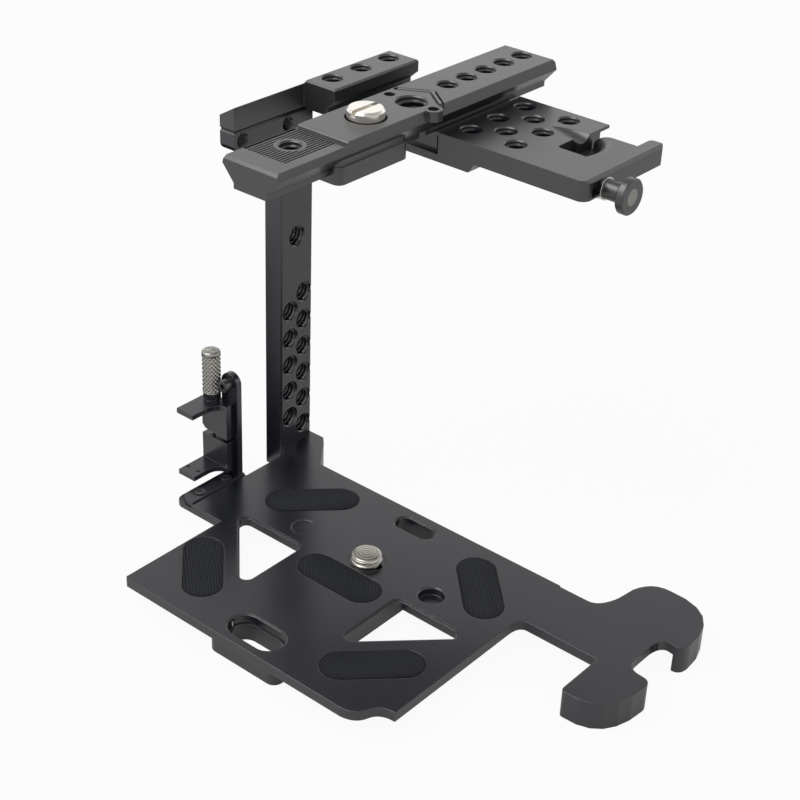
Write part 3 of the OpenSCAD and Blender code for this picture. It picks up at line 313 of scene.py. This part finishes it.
plate_anodised = grained_metal(
    "plate_anodised", [(0.0048, 0.0056, 0.0096), (0.0072, 0.0080, 0.0122), (0.03, 0.031, 0.035)],
    (0.2, 0.3), 0.000003, GRAINS, 0.00045, OXIDE_INDEX)
black_blasted = grained_metal(
    "black_blasted", [(0.0120, 0.0128, 0.0142), (0.0160, 0.0168, 0.0184), (0.028, 0.029, 0.031)],
    (0.3, 0.38), 0.000005, GRAINS, 0.0003, 1.86)
finish_nodes(["base_plate"], plate_anodised)
finish_nodes(["front_foot", "side_bar", "clamp_bracket", "clamp_lower_jaw", "clamp_upper_jaw"],
             black_anodised)
finish_nodes(["side_rail", "top_rail", "rail_block", "cross_plate", "pull_knob"], black_blasted)


# Threads in the tapped holes.
# Cut with a tap in the same black aluminium: quarter inch, 20 threads to the inch, in most
# holes, and one three eighths inch hole, 16 to the inch. Each ridge winds down its hole's wall.
THREAD_STEPS = 28


def mesh_piece(name, shape, material, smooth_angle=0.5):
    """An object from a bmesh, smooth except where faces meet at more than the angle."""
    bmesh.ops.recalc_face_normals(shape, faces=shape.faces)
    for face in shape.faces:
        face.smooth = True
    for edge in shape.edges:
        edge.smooth = len(edge.link_faces) == 2 and edge.calc_face_angle(0.0) < smooth_angle
    mesh = bpy.data.meshes.new(name)
    shape.to_mesh(mesh)
    shape.free()
    mesh.materials.append(material)
    piece = bpy.data.objects.new(name, mesh)
    bpy.context.scene.collection.objects.link(piece)
    return piece


def add_ridge(shape, place, radius, pitch, start, end):
    """A thread's ridge on a hole's wall: place puts its axis, which runs down from the mouth."""
    wall, crest = radius + 0.04, radius - 0.5 * pitch
    section = ((wall, 0.45), (crest, 0.12), (crest, -0.12), (wall, -0.45))
    turns = (end - start) / pitch - 0.9
    steps = int(turns * THREAD_STEPS)
    loops = []
    for step in range(steps + 1):
        angle = math.tau * step / THREAD_STEPS
        middle = start + pitch * (0.45 + step / THREAD_STEPS)
        out_x, out_y = math.cos(angle), math.sin(angle)
        ring = [Vector((r * out_x, r * out_y, -middle - pitch * up)) for r, up in section]
        loops.append([shape.verts.new(place @ point * MM) for point in ring])
    for low, high in zip(loops, loops[1:]):
        for i in range(len(section)):
            j = (i + 1) % len(section)
            shape.faces.new((low[i], low[j], high[j], high[i]))
    shape.faces.new(loops[0][::-1])
    shape.faces.new(loops[-1])


def threads(name, holes):
    """All ridges of one part: each hole is its place, radius, pitch, start and end in millimetres."""
    shape = bmesh.new()
    for place, radius, pitch, start, end in holes:
        add_ridge(shape, place, radius, pitch, start, end)
    piece = mesh_piece(name, shape, black_anodised, 0.9)
    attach(piece, "cage")
    return piece


QUARTER, QUARTER_PITCH = 3.175, 1.27
LARGE, LARGE_PITCH = 4.7625, 1.5875
rail_top, cross_top, bar_face = 127.1, 117.6, -64.0
inward = Matrix.Rotation(math.radians(90), 4, "Y")
bar_places = [(39.9, 4.9 + 10 * i) for i in range(6)] + [(33.5, 9.9 + 10 * i) for i in range(5)]
bar_places += [(36.5, 75.9)]
threads("bar_threads", [(Matrix.Translation((bar_face, y, z)) @ inward, QUARTER, QUARTER_PITCH, 0.35, 7.3)
                        for y, z in bar_places]
        + [(Matrix.Translation((bar_face, y, 115.0)) @ inward, 1.95, 0.7, 0.35, 5.8) for y in (12.8, 32.2)])
threads("side_rail_threads",
        [(Matrix.Translation((-59.1, 46.6 + 13.15 * i, rail_top)), QUARTER, QUARTER_PITCH, 0.5, 8.8)
         for i in range(3)])
threads("top_rail_threads",
        [(Matrix.Translation((-31.0, 67.8 + 9.4 * i, rail_top)), QUARTER, QUARTER_PITCH, 0.5, 9.7)
         for i in range(5)]
        + [(Matrix.Translation((-33.0, 0.4, rail_top - 1)), QUARTER, QUARTER_PITCH, 0.7, 8.7),
           (Matrix.Translation((-29.3, 48.6, rail_top)), LARGE, LARGE_PITCH, 0.5, 9.7)])
cross_places = [(-17.6, y, 9.2) for y in (63.3, 76.7, 90.3)] + [(-0.9, y, 6.2) for y in (63.3, 76.7, 90.3)]
cross_places += [(-9.3, y, 6.2) for y in (69.7, 83.6)]
threads("cross_threads", [(Matrix.Translation((x, y, cross_top)), QUARTER, QUARTER_PITCH, 0.5, deep)
                          for x, y, deep in cross_places])


# Small black screws and the hex key.
# Black oxide on steel: a little smoother and bluer than the anodised parts. The split clip that
# keeps the camera screw in the plate has the same finish.
black_oxide = grained_metal(
    "black_oxide", [(0.008, 0.008, 0.011), (0.012, 0.012, 0.015), (0.04, 0.04, 0.042)],
    (0.24, 0.36), 0.000002, 3000.0, 0.00015, 1.9)
finish_nodes(["bar_screws", "arm_screws", "rail_bolts", "side_rail_bolts", "clamp_foot_screws",
              "clamp_top_screw", "hex_key", "screw_clip"], black_oxide)


# Slotted screw on the top rail, screws of the front foot and the knob's bushing.
# Turned stainless steel, bright and slightly warm, with the fine grain of a light polish.
STEEL_INDEX = 2.5
bright_steel = grained_metal(
    "bright_steel", [(0.74, 0.71, 0.65), (0.84, 0.81, 0.75), (0.9, 0.88, 0.84)],
    (0.16, 0.28), 0.000003, 2600.0, 0.00025, STEEL_INDEX, metallic=1.0)
finish_nodes(["front_foot_screws", "rail_screw", "knob_bushing"], bright_steel)


# Pin of the pull knob.
# Its flat end shows in the knob's face, ground dull after it was riveted over.
dull_steel = grained_metal(
    "dull_steel", [(0.3, 0.3, 0.275), (0.37, 0.37, 0.34), (0.5, 0.49, 0.46)],
    (0.5, 0.62), 0.000008, 3800.0, 0.0002, STEEL_INDEX, metallic=1.0)
finish_nodes(["knob_pin"], dull_steel)


# Camera screw.
# Three eighths inch, turned from stainless steel: a rolled thread that ends in a low dome with
# the turning tool's rings, a plain neck inside the plate, and a knurled slotted head below.
def saw(value):
    """A wave of straight flanks, 0 in its valleys and 1 on its ridges."""
    return 1 - abs(2 * (value % 1) - 1)


def turned(name, centre, rows, around, relief, material):
    """A turned piece from (height, radius) rows, closed at both ends, with a relief cut into it."""
    shape = bmesh.new()
    loops = []
    for z, radius in rows:
        loop = []
        for step in range(around):
            angle = math.tau * step / around
            r = radius - relief(angle, z)
            point = Vector((centre[0] + r * math.cos(angle), centre[1] + r * math.sin(angle), z))
            loop.append(shape.verts.new(point * MM))
        loops.append(loop)
    for low, high in zip(loops, loops[1:]):
        for i in range(around):
            j = (i + 1) % around
            shape.faces.new((low[i], low[j], high[j], high[i]))
    shape.faces.new(loops[0][::-1])
    shape.faces.new(loops[-1])
    return mesh_piece(name, shape, material, 0.55)


def cut_slot(piece, centre, size, turn):
    """Cuts a straight slot into a piece with a boolean, and keeps the result as its mesh."""
    shape = bmesh.new()
    bmesh.ops.create_cube(shape, size=1.0)
    place = Matrix.Translation(Vector(centre) * MM) @ Matrix.Rotation(turn, 4, "Z")
    place = place @ Matrix.Diagonal((*(Vector(size) * MM), 1))
    bmesh.ops.transform(shape, matrix=place, verts=shape.verts)
    tool = mesh_piece("slot_tool", shape, piece.data.materials[0])
    cut = piece.modifiers.new("slot", "BOOLEAN")
    cut.operation = "DIFFERENCE"
    cut.solver = "EXACT"
    cut.object = tool
    graph = bpy.context.evaluated_depsgraph_get()
    done = bpy.data.meshes.new_from_object(piece.evaluated_get(graph))
    piece.modifiers.clear()
    piece.data = done
    bpy.data.objects.remove(tool)


def spread(low, high, count):
    """Evenly spread values from low to high, both included."""
    return [low + (high - low) * i / count for i in range(count + 1)]


def ramp(value, start, width):
    """0 before start, 1 after start and the width, and straight in between."""
    return min(1.0, max(0.0, (value - start) / width))


SCREW_RADIUS, NECK_RADIUS, HEAD_RADIUS = 4.76, 4.2, 8.5
HEAD_FOOT, HEAD_TOP = -7.85, -3.25
DOME_FOOT, DOME_TOP, DOME_RIM = 2.3, 3.25, 3.7
HEAD_TEETH, TOOTH_DEPTH, THREAD_DEPTH = 48, 0.3, 0.8


def screw_relief(angle, z):
    """Depth below the full radius: knurl on the head, thread above the plate."""
    if z < -3.4:
        inside = ramp(z, -7.7, 0.5) * ramp(-z, 3.5, 0.5)
        return TOOTH_DEPTH * inside * (1 - saw(angle * HEAD_TEETH / math.tau))
    if z < 0.0:
        return 0.0
    ridge = min(1.0, 1.35 * saw(z / LARGE_PITCH - angle / math.tau))
    return THREAD_DEPTH * ramp(-z, -2.7, 0.6) * (1 - ridge)


screw_rows = [(HEAD_FOOT, 6.0), (HEAD_FOOT, 8.0)] + [(z, HEAD_RADIUS) for z in spread(-7.5, -3.6, 9)]
screw_rows += [(HEAD_TOP, 8.1), (HEAD_TOP, NECK_RADIUS)] + [(z, NECK_RADIUS) for z in spread(-3.0, -0.2, 2)]
screw_rows += [(z, SCREW_RADIUS) for z in spread(0.0, DOME_FOOT, 18)]
screw_rows += [(DOME_FOOT + 0.75 * math.sin(t), 4.66 - 1.0 * (1 - math.cos(t)))
               for t in spread(0.15, 1.45, 8)]
screw_rows += [(DOME_TOP - 0.0125 * r * r + 0.02 * math.cos(r * 5.5), r)
               for r in spread(DOME_RIM, 0.25, 28)]
screw_steel = grained_metal(
    "screw_steel", [(0.38, 0.366, 0.33), (0.5, 0.482, 0.44), (0.7, 0.68, 0.635)],
    (0.24, 0.36), 0.000004, 2400.0, 0.00012, STEEL_INDEX, metallic=1.0)
camera_screw = turned("camera_screw_turned", (0, 0), screw_rows, 96, screw_relief, screw_steel)
cut_slot(camera_screw, (0, 0, HEAD_FOOT), (18.0, 1.8, 4.0), 0.0)
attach(camera_screw, "camera_screw")
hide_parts("camera_screw")


# Thumb screw of the cable clamp.
# Nickel plated steel with a crossed knurl, rounded off at the top where a coin slot is cut.
THUMB_AXIS = (-71.45, 4.85)
THUMB_FOOT, THUMB_SHOULDER, THUMB_TOP = 29.25, 43.4, 44.3
THUMB_RADIUS, SHANK_RADIUS = 3.05, 1.0
KNURL_STARTS, KNURL_RISE, KNURL_DEPTH = 13, 1.5, 0.42
SLOT_TURN = math.radians(43.7)


def thumb_relief(angle, z):
    """The crossed knurl, which fades out at both ends of the head."""
    if z < 29.3:
        return 0.0
    rise = (z - THUMB_FOOT) / KNURL_RISE
    around = KNURL_STARTS * angle / math.tau
    valley = 1 - min(1.0, 1.15 * min(saw(around + rise), saw(around - rise)))
    return KNURL_DEPTH * ramp(z, 29.4, 0.5) * ramp(-z, -43.1, 0.6) * valley


thumb_rows = [(4.4, 0.8), (4.6, SHANK_RADIUS), (THUMB_FOOT, SHANK_RADIUS), (THUMB_FOOT, 2.85)]
thumb_rows += [(z, THUMB_RADIUS) for z in spread(29.45, THUMB_SHOULDER, 84)]
thumb_rows += [(THUMB_SHOULDER + 0.9 * math.sin(t), 3.03 - 0.95 * (1 - math.cos(t)))
               for t in spread(0.2, 1.35, 6)]
thumb_rows += [(THUMB_TOP, r) for r in (1.9, 1.2, 0.5)]
knurled_steel = grained_metal(
    "knurled_steel", [(0.3, 0.292, 0.268), (0.4, 0.388, 0.356), (0.6, 0.585, 0.55)],
    (0.26, 0.38), 0.000004, 2400.0, 0.0001, STEEL_INDEX, metallic=1.0)
thumb_screw = turned("thumb_screw_knurled", THUMB_AXIS, thumb_rows, 216, thumb_relief, knurled_steel)
cut_slot(thumb_screw, (*THUMB_AXIS, 44.35), (8.0, 0.8, 2.0), SLOT_TURN)
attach(thumb_screw, "thumb_screw")
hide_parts("thumb_screw")


# Grip pads.
# Cut from one ribbed rubber sheet and glued into their recesses: main ribs crossed by finer
# ones, each pad with the ribs lying as its blank was cut. Faces slightly crowned, and paler in
# colour the higher they stand: pale rib tops, darker grooves and rim.
pad_rubber, nodes, links, skin = shader("pad_rubber")
dust = place_group(nodes, grain_group, Grains_per_metre=9000.0)
spot = nodes.new("ShaderNodeTexCoord")
level = nodes.new("ShaderNodeSeparateXYZ")
# Colour by height: paler on the rib tops, darker down in the grooves and at the rim.
rib_share = nodes.new("ShaderNodeMapRange")
rib_share.inputs["From Min"].default_value = 0.00005
rib_share.inputs["From Max"].default_value = 0.00029
links.new(spot.outputs["Object"], level.inputs[0])
links.new(level.outputs["Z"], rib_share.inputs["Value"])
links.new(mixed_colour(nodes, links, rib_share.outputs[0], (0.001, 0.0013, 0.0022), (0.011, 0.013, 0.0185)),
          skin.inputs["Base Color"])
links.new(ranged(nodes, links, dust.outputs["Height"], 0.55, 0.8), skin.inputs["Roughness"])
pores = nodes.new("ShaderNodeBump")
pores.inputs["Distance"].default_value = 0.00003
links.new(dust.outputs["Height"], pores.inputs["Height"])
links.new(pores.outputs[0], skin.inputs["Normal"])
skin.inputs["Specular IOR Level"].default_value = 0.3

PAD_LENGTH, PAD_WIDTH, PAD_FOOT = 30.0, 12.0, -0.95
RIB_PITCH, RIB_DEPTH, CROSS_PITCH, CROSS_DEPTH = 0.92, 0.26, 0.62, 0.1
PAD_STEPS = (130, 52)


def ribbed_pad(node, centre, turn, rib_turn):
    """One pad as a grid that follows its round ends, crowned, with ribs on its face."""
    shape = bmesh.new()
    along, across = PAD_STEPS
    half, reach = PAD_WIDTH / 2, (PAD_LENGTH - PAD_WIDTH) / 2
    cos, sin = math.cos(math.radians(turn)), math.sin(math.radians(turn))
    rib_x, rib_y = math.cos(math.radians(rib_turn + 90)), math.sin(math.radians(rib_turn + 90))
    rows = []
    for j in range(across + 1):
        v = -half * math.cos(math.pi * j / across)
        end = reach + math.sqrt(max(0.0, half * half - v * v))
        row = []
        for i in range(along + 1):
            u = -end + 2 * end * i / along
            edge = half - math.hypot(max(0.0, abs(u) - reach), v)
            x, y = centre[0] + u * cos - v * sin, centre[1] + u * sin + v * cos
            ribs = saw((x * rib_x + y * rib_y) / RIB_PITCH)
            crosses = saw((x * -rib_y + y * rib_x) / CROSS_PITCH)
            crown = 0.08 + 0.22 * (1 - math.exp(-max(0.0, edge) / 0.5))
            depth = RIB_DEPTH * (1 - min(1.0, 1.5 * ribs)) + CROSS_DEPTH * (1 - min(1.0, 1.8 * crosses))
            row.append(shape.verts.new((x * MM, y * MM, (crown - depth * ramp(edge, 0.0, 0.4)) * MM)))
        rows.append(row)
    for low, high in zip(rows, rows[1:]):
        for i in range(along):
            shape.faces.new((low[i], low[i + 1], high[i + 1], high[i]))
    rim = rows[0] + [row[-1] for row in rows[1:-1]] + rows[-1][::-1] + [row[0] for row in rows[-2:0:-1]]
    foot = [shape.verts.new((vert.co.x, vert.co.y, PAD_FOOT * MM)) for vert in rim]
    for i in range(len(rim)):
        j = (i + 1) % len(rim)
        shape.faces.new((rim[i], foot[i], foot[j], rim[j]))
    shape.faces.new(foot)
    piece = mesh_piece(node + "_ribbed", shape, pad_rubber, 1.0)
    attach(piece, "cage")
    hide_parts(node)


ribbed_pad("pad_back_left", (-34.6, 13.0), 45, -33)
ribbed_pad("pad_back_right", (33.8, 13.0), -45, -45)
ribbed_pad("pad_front_left", (-34.4, -35.9), -45, -40)
ribbed_pad("pad_front_right", (33.6, -35.9), 45, 97)
ribbed_pad("pad_middle", (-0.4, -12.2), 0, -46)
